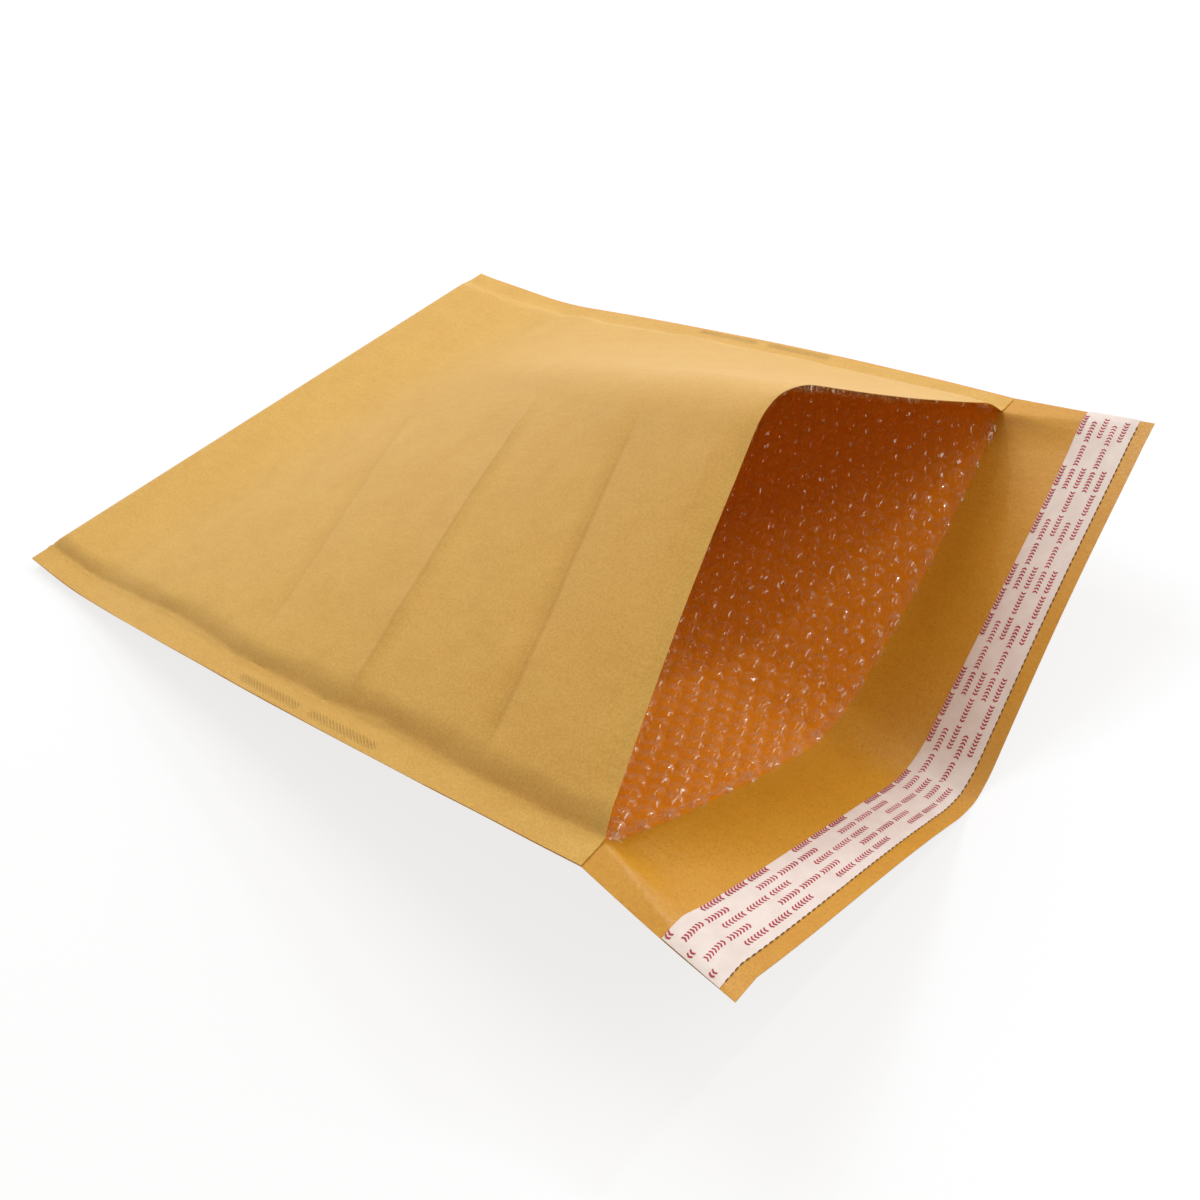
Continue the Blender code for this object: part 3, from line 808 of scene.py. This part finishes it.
@dataclass(frozen=True)
class FilmFinish:
    """Clear glossy film, wrinkled so that it sparkles."""

    name: str = "bubble_film"
    haze: float = 0.006
    gloss: float = 0.13
    streaks: float = 0.60
    roughness: float = 0.08
    wrinkle: float = 0.00060
    wrinkle_scale: float = 420.0
    streak_turn: float = 0.15
    streak_scale: tuple[float, ...] = (300.0, 1100.0, 1.0)
    metal: float = 0.6
    tint: tuple[float, ...] = (0.95, 0.87, 0.74, 1.0)

    def make(self) -> Material:
        """Build the material, which shows what is behind it away from its gloss.

        Returns:
            The finished material.
        """
        nodes = Nodes(bpy.data.materials.new(self.name))
        nodes.feed(nodes.shader, {"Base Color": self.tint, "Roughness": self.roughness,
                                  "Metallic": self.metal})
        sheet = nodes.put("ShaderNodeUVMap", uv_map=SHEET_MAP).outputs[0]
        place = nodes.put("ShaderNodeTexCoord").outputs["Object"]
        turned = nodes.put("ShaderNodeMapping", {
            "Vector": sheet, "Rotation": (0.0, 0.0, self.streak_turn), "Scale": self.streak_scale})
        creased = nodes.noise(turned.outputs[0], 1.0, 3.0, 0.6)
        wrinkles = nodes.noise(place, self.wrinkle_scale, 3.0, 0.6)
        normals = nodes.bump(nodes.math("MULTIPLY", wrinkles, self.wrinkle))
        gloss = nodes.put("ShaderNodeFresnel", {"IOR": 1.45, "Normal": normals})
        share = nodes.math("MULTIPLY_ADD", gloss.outputs[0], self.gloss, self.haze)
        share = nodes.math("ADD", share, nodes.ramp(creased, 0.54, 0.64, 0.0, self.streaks))
        clear = nodes.put("ShaderNodeBsdfTransparent", {"Color": (1.0, 0.99, 0.97, 1.0)})
        nodes.mix_in(share, clear.outputs[0], nodes.shader.outputs[0])
        return nodes.block


@dataclass(frozen=True)
class PaperFinish:
    """Smooth coated paper of one tone, with faint clouding."""

    name: str
    colour: tuple[int, int, int]
    deep: tuple[int, int, int]
    roughness: float

    def make(self) -> Material:
        """Build the material.

        Returns:
            The finished material.
        """
        nodes = Nodes(bpy.data.materials.new(self.name))
        place = nodes.put("ShaderNodeTexCoord").outputs["Object"]
        cloud = nodes.ramp(nodes.noise(place, 120.0, 4.0, 0.6), 0.3, 0.7)
        colour = nodes.blend(cloud, linear(self.deep), linear(self.colour))
        dull = nodes.ramp(nodes.noise(place, 400.0), 0.3, 0.7,
                          self.roughness - 0.05, self.roughness + 0.05)
        nodes.feed(nodes.shader, {"Base Color": colour, "Roughness": dull})
        nodes.bump(nodes.math("MULTIPLY", nodes.noise(place, 160.0, 2.0), 0.0001), 0.6)
        return nodes.block


@dataclass
class KraftCover:
    """The folded kraft sheet: the front panel, and the back panel with its flap."""

    sheets: Sheets
    paper: float = 0.0003
    across_step: float = 0.0030
    seam_step: float = 0.0013
    front_step: float = 0.0016
    back_step: float = 0.0030
    far_inset: float = 0.0011
    trim: float = 0.0003
    trim_stray: float = 0.0002
    lining_start: float = 0.006
    lining_stop: float = 0.4745

    def across_lines(self) -> np.ndarray:
        """Places across the sheet of the mesh lines, closer together at the seams.

        Returns:
            The places, from the near edge to the far edge.
        """
        form = self.sheets.form
        rim = form.seam_band + form.seam_rise
        fine = np.linspace(0.0, rim, round(rim / self.seam_step) + 1)
        middle = np.linspace(rim, form.width - rim,
                             round((form.width - 2.0 * rim) / self.across_step) + 1)
        return np.concatenate([fine[:-1], middle, form.width - fine[::-1][1:]])

    def body_rows(self, step: float) -> np.ndarray:
        """Distances along of a panel's rows, from the closed fold to the mouth.

        Args:
            step: Distance between rows past the fold.

        Returns:
            The distances.
        """
        form = self.sheets.form
        fold = np.linspace(0.0, form.fold_rise, 7)
        body = np.linspace(form.fold_rise, form.length, round(form.length / step))
        return np.concatenate([fold, body[1:]])

    def edge_inset(self, panel: Panel, along: float) -> tuple[float, float]:
        """How far the trimmed edges of a row stand back.

        Args:
            panel: The row's panel.
            along: The row's distance from the closed fold.

        Returns:
            The near and the far distance.
        """
        place, turn = np.array(along), int(panel.value)
        near = self.trim + self.trim_stray * float(wander(place, 0.2, 21 + turn))
        far = self.trim + self.trim_stray * float(wander(place, 0.25, 31 + turn))
        if panel is Panel.FRONT:
            far += self.far_inset * min(1.0, along / 0.03)
        return near, far

    def build(self, name: str, rows: list[tuple[Panel, float]],
              finishes: list[Material]) -> Object:
        """Build one panel from its rows.

        Args:
            name: Name of the piece.
            rows: Panel and distance along of each row.
            finishes: Finishes of the outside, under the film, and of the flap's inside.

        Returns:
            The piece.
        """
        lines, shell = self.across_lines(), Shell()
        skins = {0.0: [], self.paper: []}
        for panel, along in rows:
            near, far = self.edge_inset(panel, along)
            share = lines / lines[-1]
            across = near * (1.0 - share) + (lines[-1] - far) * share
            spots = np.stack([across, np.full_like(across, along)], axis=1)
            for depth, grid in skins.items():
                points = self.sheets.sample(panel, across, spots[:, 1], depth)
                grid.append(shell.add(points, spots))
        outside, inside = (np.array(grid) for grid in skins.values())
        shell.cover(outside)
        for k, (_, along) in enumerate(rows[:-1]):
            under_film = self.lining_start < along < self.lining_stop
            shell.join(inside[k], inside[k + 1], 1 if under_film else 2)
        for side in (0, -1):
            shell.join(outside[:, side], inside[:, side])
            shell.join(outside[side], inside[side])
        return shell.finish(name, finishes, "kraft_cover", "kraft_paper")

    def make_front(self, finishes: list[Material]) -> Object:
        """Build the front panel, down to the closed fold, with the cover's finishes."""
        rows = [(Panel.FRONT, v) for v in self.body_rows(self.front_step)[::-1]]
        return self.build("front_panel", rows + [(Panel.BACK, 0.0)], finishes)

    def make_back(self, finishes: list[Material]) -> Object:
        """Build the back panel and the flap.

        Args:
            finishes: The cover's finishes.

        Returns:
            The piece.
        """
        form = self.sheets.form
        flap = np.linspace(form.length, form.length + form.flap,
                           round(form.flap / self.back_step) + 1)
        along = np.concatenate([self.body_rows(self.back_step), flap[1:]])
        return self.build("back_panel", [(Panel.BACK, v) for v in along], finishes)


@dataclass
class BubbleLining:
    """The bubbles that face into the pocket, and the film's cut edge at the mouth."""

    sheets: Sheets
    pitch: float = 0.01047
    radius: float = 0.0049
    height: float = 0.0040
    depth: float = 0.0004
    least_padding: float = 0.7
    uneven: float = 0.05
    lean: float = 0.0004
    stop: float = 0.478
    edge_width: float = 0.006
    edge_points: int = 420
    edge_rows: int = 7
    edge_inset: float = 0.003
    edge_lift: float = 0.0004
    scallop: float = 0.0009
    ragged: float = 0.0006
    curl: float = 0.0011
    tuft_reaches: tuple[float, float] = (0.010, 0.013)
    tuft_length: float = 0.0045
    tuft_height: float = 0.0050
    sides: int = 14
    rings: tuple[tuple[float, float], ...] = ((1.0, 0.0), (0.95, 0.42), (0.80, 0.80), (0.45, 0.97))

    def lattice(self) -> np.ndarray:
        """Places of the bubbles on a panel, in rows along the envelope.

        Returns:
            Their places across and along, one row for each bubble.
        """
        form = self.sheets.form
        spacing = self.pitch * math.sqrt(3.0) / 2.0
        margin = form.seam_band + form.seam_rise * 0.55
        count = int((form.width - 2.0 * margin) / spacing)
        start = (form.width - count * spacing) / 2.0
        spots = []
        for row in range(count + 1):
            shift = 0.5 * self.pitch * (row % 2)
            along = np.arange(self.stop - 0.45 * self.pitch - shift, form.fold_rise + 0.004,
                              -self.pitch)
            spots += [(start + row * spacing, v) for v in along]
        places = np.array(spots)
        return places[self.sheets.padding(places[:, 0], places[:, 1]) > self.least_padding]

    def make_bubbles(self, panel: Panel, film: Material) -> Object:
        """Build the bubbles of one panel.

        Args:
            panel: The panel that they line.
            film: Finish of the film.

        Returns:
            The piece.
        """
        picks = np.random.default_rng(40 + int(panel.value))
        spots = self.lattice()
        count = len(spots)
        turns = np.linspace(0.0, 2.0 * math.pi, self.sides, endpoint=False)
        padded = self.sheets.padding(spots[:, 0], spots[:, 1])
        tall = self.height * picks.uniform(0.70, 1.0, count)
        tall = tall * np.clip(padded * 2.0 - 1.0, 0.05, 1.0)
        edge = spots[:, 1] > self.stop - 0.6 * self.pitch
        tall[edge] *= picks.uniform(0.3, 0.75, int(edge.sum()))
        wide = self.radius * picks.uniform(0.93, 1.0, count)
        lean = picks.normal(0.0, self.lean, (count, 2))
        shell = Shell()
        rings = []
        for reach, rise in self.rings:
            ripple = picks.normal(0.0, 1.0, (count, self.sides))
            ripple = 1.0 + self.uneven * ripple * (0.2 + rise)
            around = np.stack([np.cos(turns), np.sin(turns)], axis=1)
            offset = (wide[:, None] * reach * ripple)[..., None] * around
            offset = offset + (lean * rise)[:, None, :]
            ragged = 1.0 + self.uneven * picks.normal(0.0, 1.0, (count, self.sides))
            level = tall[:, None] * rise * ragged
            rings.append(self._add_ring(shell, panel, spots[:, None, :] + offset, level))
        tops = self._add_ring(shell, panel, spots + lean, tall)
        following = [np.roll(ring, -1, axis=1) for ring in rings]
        for k in range(len(rings) - 1):
            quads = np.stack([rings[k], following[k], following[k + 1], rings[k + 1]], axis=-1)
            shell.faces += quads.reshape(-1, 4).tolist()
        centre = np.broadcast_to(tops[:, None], rings[-1].shape)
        shell.faces += np.stack([rings[-1], following[-1], centre], axis=-1).reshape(-1, 3).tolist()
        shell.slots = [0] * len(shell.faces)
        return self._finish(shell, f"bubbles_{panel.name.lower()}", film)

    def _finish(self, shell: Shell, name: str, film: Material) -> Object:
        """Turn a shell of film into a piece, with soft edges."""
        return shell.finish(name, [film], "bubble_lining", "bubble_film", 80.0)

    def _add_ring(self, shell: Shell, panel: Panel, spots: np.ndarray,
                  level: np.ndarray) -> np.ndarray:
        """Add points above the paper.

        Args:
            shell: The shell to add to.
            panel: The panel below them.
            spots: Their places on the sheet.
            level: Their heights, square to the panel.

        Returns:
            The points' numbers.
        """
        across, along = spots[..., 0], spots[..., 1]
        points = self.sheets.sample(panel, across, along, self.depth)
        points += level[..., None] * self.sheets.inward(panel, across, along)
        return shell.add(points, spots)

    def make_edge(self, panel: Panel, film: Material) -> Object:
        """Build the film's cut edge along the mouth, which is ragged and curls up.

        Args:
            panel: The panel that it lines.
            film: Finish of the film.

        Returns:
            The piece.
        """
        form = self.sheets.form
        margin = form.seam_band + self.edge_inset
        across = np.linspace(margin, form.width - margin, self.edge_points)
        scallop = self.scallop * np.cos(2.0 * math.pi * across / (self.pitch * math.sqrt(3.0)))
        ragged = scallop + self.ragged * wander(across, 0.02, 61)
        near_reach, far_reach = self.tuft_reaches
        corner = np.exp(-((across - margin) / near_reach) ** 2)
        corner += np.exp(-((form.width - margin - across) / far_reach) ** 2)
        crumple = corner * (0.6 + 0.5 * wander(across, 0.006, 63))
        shell, rows = Shell(), []
        for share in np.linspace(0.0, 1.0, self.edge_rows):
            along = self.stop - self.edge_width * (1.0 - share)
            along = along + (ragged + self.tuft_length * crumple) * share
            curl = self.curl * share ** 2 * (1.0 + 0.6 * wander(across, 0.012, 62))
            tuft = self.tuft_height * crumple * np.sin(math.pi * share) ** 2
            level = self.edge_lift + curl + tuft
            rows.append(self._add_ring(shell, panel, np.stack([across, along], axis=-1), level))
        shell.cover(np.array(rows))
        return self._finish(shell, f"film_edge_{panel.name.lower()}", film)


@dataclass
class FlapSeal:
    """The adhesive band on the flap, and its release liner with printed marks."""

    sheets: Sheets
    start: float = 0.038
    width: float = 0.026
    margin: float = 0.003
    paper: float = 0.0003
    glue: float = 0.0003
    liner: float = 0.00016
    step: float = 0.0025
    rows: int = 5
    first_row: float = 0.0013
    row_pitch: float = 0.0050
    mark_height: float = 0.0023
    mark_pitch: float = 0.0017
    marks_in_cluster: int = 7
    clusters: int = 3
    group_pitch: float = 0.0555
    groups: int = 9
    mark_stroke: float = 0.00078
    mark_nose: float = 0.0007
    dash_pitch: float = 0.0031
    dash_length: float = 0.0018
    end_margin: float = 0.0004
    lanes: int = 9
    flutter: float = 0.00008
    glue_gap: float = 0.00004
    liner_gap: float = 0.00006
    liner_droop: float = 0.00025
    mark_lift: float = 0.00014

    def strip(self, shell: Shell, sides: tuple[float, float], levels: tuple[float, float],
              droop: float = 0.0) -> None:
        """Add a flat strip along the flap.

        Args:
            shell: The shell to add to.
            sides: The strip's two long sides, as distances beyond the mouth.
            levels: Heights of its underside and its top above the flap.
            droop: How far its long sides come down.
        """
        form = self.sheets.form
        across = np.linspace(self.end_margin, form.width - self.end_margin,
                             round(form.width / self.step))
        beyond = np.linspace(*sides, self.lanes)
        side = np.abs(np.linspace(-1.0, 1.0, self.lanes))
        grids = []
        for level in levels:
            rows = []
            for b, s in zip(beyond, side):
                along = np.full_like(across, form.length + b)
                stray = self.flutter * wander(across, 0.08, 70 + int(self.lanes * s))
                height = level - droop * s ** 6 + stray
                points = self.sheets.sample(Panel.BACK, across, along, self.paper + height)
                rows.append(shell.add(points, np.stack([across, along], axis=-1)))
            grids.append(np.array(rows))
        low_grid, high_grid = grids
        for grid in grids:
            shell.cover(grid)
        for end in (0, -1):
            shell.join(low_grid[end], high_grid[end])
            shell.join(low_grid[:, end], high_grid[:, end])

    def make_adhesive(self, finish: Material) -> Object:
        """Build the adhesive band.

        Args:
            finish: Its finish.

        Returns:
            The piece.
        """
        shell = Shell()
        sides = self.start + self.margin, self.start + self.width - self.margin
        self.strip(shell, sides, (self.glue_gap, self.glue))
        return shell.finish("adhesive_band", [finish], "adhesive_strip", "adhesive")

    def make_liner(self, finish: Material) -> Object:
        """Build the liner's paper strip.

        Args:
            finish: Its finish.

        Returns:
            The piece.
        """
        shell = Shell()
        sides = self.start, self.start + self.width
        top = self.glue + self.liner_gap + self.liner
        self.strip(shell, sides, (top - self.liner, top), self.liner_droop)
        return shell.finish("liner_paper", [finish], "release_liner", "release_liner")

    def flat_patch(self, shell: Shell, corners: np.ndarray, level: float) -> None:
        """Add one flat mark.

        Args:
            shell: The shell to add to.
            corners: Its corners on the sheet.
            level: Its height above the flap.
        """
        points = self.sheets.sample(Panel.BACK, corners[:, 0], corners[:, 1], self.paper + level)
        numbers = shell.add(points, corners)
        shell.faces.append(numbers.tolist())
        shell.slots.append(0)

    def make_marks(self, ink: Material) -> Object:
        """Build the rows of printed arrowheads, which point in turn either way.

        Args:
            ink: Its finish.

        Returns:
            The piece.
        """
        form, shell = self.sheets.form, Shell()
        level = self.glue + self.liner + self.mark_lift
        inner_edge = form.length + self.start + 0.0001
        half, stroke, nose = self.mark_height / 2.0, self.mark_stroke, self.mark_nose
        cluster = (self.marks_in_cluster + 0.9) * self.mark_pitch
        for row in range(self.rows):
            way = 1.0 if row % 2 else -1.0
            middle = form.length + self.start + self.first_row + row * self.row_pitch
            first = -0.6 * self.group_pitch + 0.45 * self.group_pitch * (row % 2)
            starts = [first + group * self.group_pitch + k * cluster + m * self.mark_pitch
                      for group in range(self.groups) for k in range(self.clusters)
                      for m in range(self.marks_in_cluster)]
            for u in starts:
                if not 0.002 < u < form.width - 0.002:
                    continue
                for end in (-1.0, 1.0):
                    tip, foot = u + way * nose, middle + end * half
                    corners = np.array([(tip, middle), (tip + stroke, middle),
                                        (u + stroke, foot), (u, foot)])
                    corners[:, 1] = np.maximum(corners[:, 1], inner_edge)
                    self.flat_patch(shell, corners, level)
        return shell.finish("liner_marks", [ink], "release_liner", "release_liner")

    def make_edge_dashes(self, shade: Material) -> Object:
        """Build the row of short dark dashes along the liner's outer edge.

        Args:
            shade: Its finish.

        Returns:
            The piece.
        """
        form, shell = self.sheets.form, Shell()
        along = form.length + self.start + self.width
        inner, outer = along - 0.00015, along + 0.00030
        for u in np.arange(0.004, form.width - 0.004, self.dash_pitch):
            end = u + self.dash_length
            corners = np.array([(u, inner), (end, inner), (end, outer), (u, outer)])
            self.flat_patch(shell, corners, 0.00034)
        return shell.finish("liner_edge_dashes", [shade], "release_liner", "release_liner")


@dataclass(frozen=True)
class Lamp:
    """A round lamp, in a direction from the envelope."""

    name: str
    way: tuple[float, float, float]
    size: float
    power: float
    mirrored: bool


@dataclass(frozen=True)
class Studio:
    """Camera, lamps, world and floor."""

    place: tuple[float, float, float] = (0.470, -0.3327, 0.4697)
    heading: float = 143.40
    dip: float = 41.24
    roll: float = -13.39
    lens: float = 41.13
    sensor: float = 36.0
    lamp_distance: float = 2.2
    lamps: tuple[Lamp, ...] = (
        Lamp("soft_lamp_mouth", (0.62, 0.66, 0.43), 1.3, 16.0, False),
        Lamp("soft_lamp_fold", (-0.54, 0.30, 0.79), 1.3, 21.5, False),
        Lamp("glint_lamp_mouth", (0.30, 0.66, 0.68), 0.16, 6.5, True),
        Lamp("glint_lamp_fold", (-0.50, 0.50, 0.70), 0.16, 3.5, True),
    )
    fill: float = 0.42
    fill_colour: tuple[float, float, float] = (1.0, 0.87, 0.64)
    floor_tone: tuple[float, float, float] = (0.24, 0.25, 0.28)
    floor_glow: float = 0.78
    floor_reach: float = 12.0
    floor_gap: float = 0.0002

    def make_camera(self) -> Object:
        """Build the camera at the photograph's viewpoint and make it the scene's.

        Returns:
            The camera.
        """
        heading, dip, roll = map(math.radians, (self.heading, self.dip, self.roll))
        forward = Vector((math.cos(heading) * math.cos(dip), math.sin(heading) * math.cos(dip),
                          -math.sin(dip)))
        level = forward.cross(Vector((0.0, 0.0, 1.0))).normalized()
        above = level.cross(forward)
        right = level * math.cos(roll) + above * math.sin(roll)
        up = right.cross(forward)
        camera = bpy.data.objects.new("camera", bpy.data.cameras.new("camera"))
        camera.data.sensor_width, camera.data.lens = self.sensor, self.lens
        camera.data.clip_start = 0.01
        axes = Matrix((right, up, -forward)).transposed()
        camera.matrix_world = Matrix.Translation(self.place) @ axes.to_4x4()
        bpy.context.scene.collection.objects.link(camera)
        bpy.context.scene.camera = camera
        return camera

    def make_lamps(self) -> None:
        """Build the large soft lamps and the small ones whose images glint on the film."""
        for lamp in self.lamps:
            way = Vector(lamp.way).normalized()
            light = bpy.data.lights.new(lamp.name, "AREA")
            light.shape, light.size, light.energy = "DISK", lamp.size, lamp.power
            holder = bpy.data.objects.new(lamp.name, light)
            holder.location = way * self.lamp_distance
            holder.visible_glossy = lamp.mirrored
            holder.rotation_mode = "QUATERNION"
            holder.rotation_quaternion = way.to_track_quat("Z", "Y")
            bpy.context.scene.collection.objects.link(holder)

    def make_world(self) -> None:
        """Light from all round, which the camera sees as white."""
        nodes = Nodes(bpy.data.worlds.new("studio"))
        bpy.context.scene.world = nodes.block
        nodes.feed(nodes.shader, {"Strength": self.fill, "Color": (*self.fill_colour, 1.0)})
        seen = nodes.put("ShaderNodeBackground", {"Color": WHITE})
        nodes.mix_in(nodes.seen_directly(), nodes.shader.outputs[0], seen.outputs[0])

    def make_floor(self) -> None:
        """Build the pale floor, which keeps the envelope's shadow."""
        nodes = Nodes(bpy.data.materials.new("floor"))
        nodes.feed(nodes.shader, {"Base Color": (*self.floor_tone, 1.0), "Roughness": 0.9,
                                  "Specular IOR Level": 0.0})
        strength = nodes.math("MULTIPLY", nodes.seen_directly(), self.floor_glow)
        glow = nodes.put("ShaderNodeEmission", {"Strength": strength})
        total = nodes.put("ShaderNodeAddShader", {0: nodes.shader.outputs[0], 1: glow.outputs[0]})
        nodes.feed(nodes.output, {"Surface": total.outputs[0]})
        mesh = bpy.data.meshes.new("floor")
        far = self.floor_reach
        corners = [(-far, -far, 0.0), (far, -far, 0.0), (far, far, 0.0), (-far, far, 0.0)]
        mesh.from_pydata(corners, [], [(0, 1, 2, 3)])
        mesh.materials.append(nodes.block)
        floor = bpy.data.objects.new("floor", mesh)
        floor.location.z = -self.floor_gap
        bpy.context.scene.collection.objects.link(floor)
        floor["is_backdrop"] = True


def main() -> None:
    """Build the envelope's pieces and the studio, and report each piece."""
    logging.basicConfig(level=logging.INFO, format="%(message)s")
    packed_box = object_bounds()
    studio = Studio()
    studio.make_camera()
    form = Form()
    sheets = Sheets(form)
    kraft = KraftFinish().make(form)
    lined = KraftFinish("kraft_under_film", (244, 176, 34), (232, 158, 22), roughness=0.55,
                        tooth=0.00004, thin=0.50, with_crease_shade_and_ticks=False).make(form)
    inside = KraftFinish("kraft_inside", (222, 166, 50), (210, 148, 36), roughness=0.34,
                         tooth=0.00011, gloss=0.8, with_crease_shade_and_ticks=False).make(form)
    film = FilmFinish().make()
    cover = KraftCover(sheets)
    finishes = [kraft, lined, inside]
    pieces = [cover.make_front(finishes), cover.make_back(finishes)]
    lining = BubbleLining(sheets)
    for panel in Panel:
        pieces += [lining.make_bubbles(panel, film), lining.make_edge(panel, film)]
    seal = FlapSeal(sheets)
    for make, finish in (
            (seal.make_adhesive, PaperFinish("adhesive", (214, 190, 140), (200, 172, 120), 0.25)),
            (seal.make_liner, PaperFinish("release_liner", (242, 232, 231), (235, 222, 221), 0.34)),
            (seal.make_marks, PaperFinish("liner_ink", (184, 50, 72), (168, 36, 58), 0.45)),
            (seal.make_edge_dashes, PaperFinish("liner_edge_dash", (96, 58, 24), (84, 48, 18), 0.60))):
        pieces.append(make(finish.make()))
    studio.make_lamps()
    studio.make_world()
    studio.make_floor()
    bpy.context.scene.view_settings.view_transform = "Standard"
    for piece in pieces:
        LOG.info("%s: %d faces", piece.name, len(piece.data.polygons))
    boxes = {"cad": packed_box, "visual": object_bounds()}
    plain = {name: [list(corner) for corner in box] for name, box in boxes.items()}
    LOG.info("boxes in metres: %s", plain)


if __name__ == "__main__":
    main()
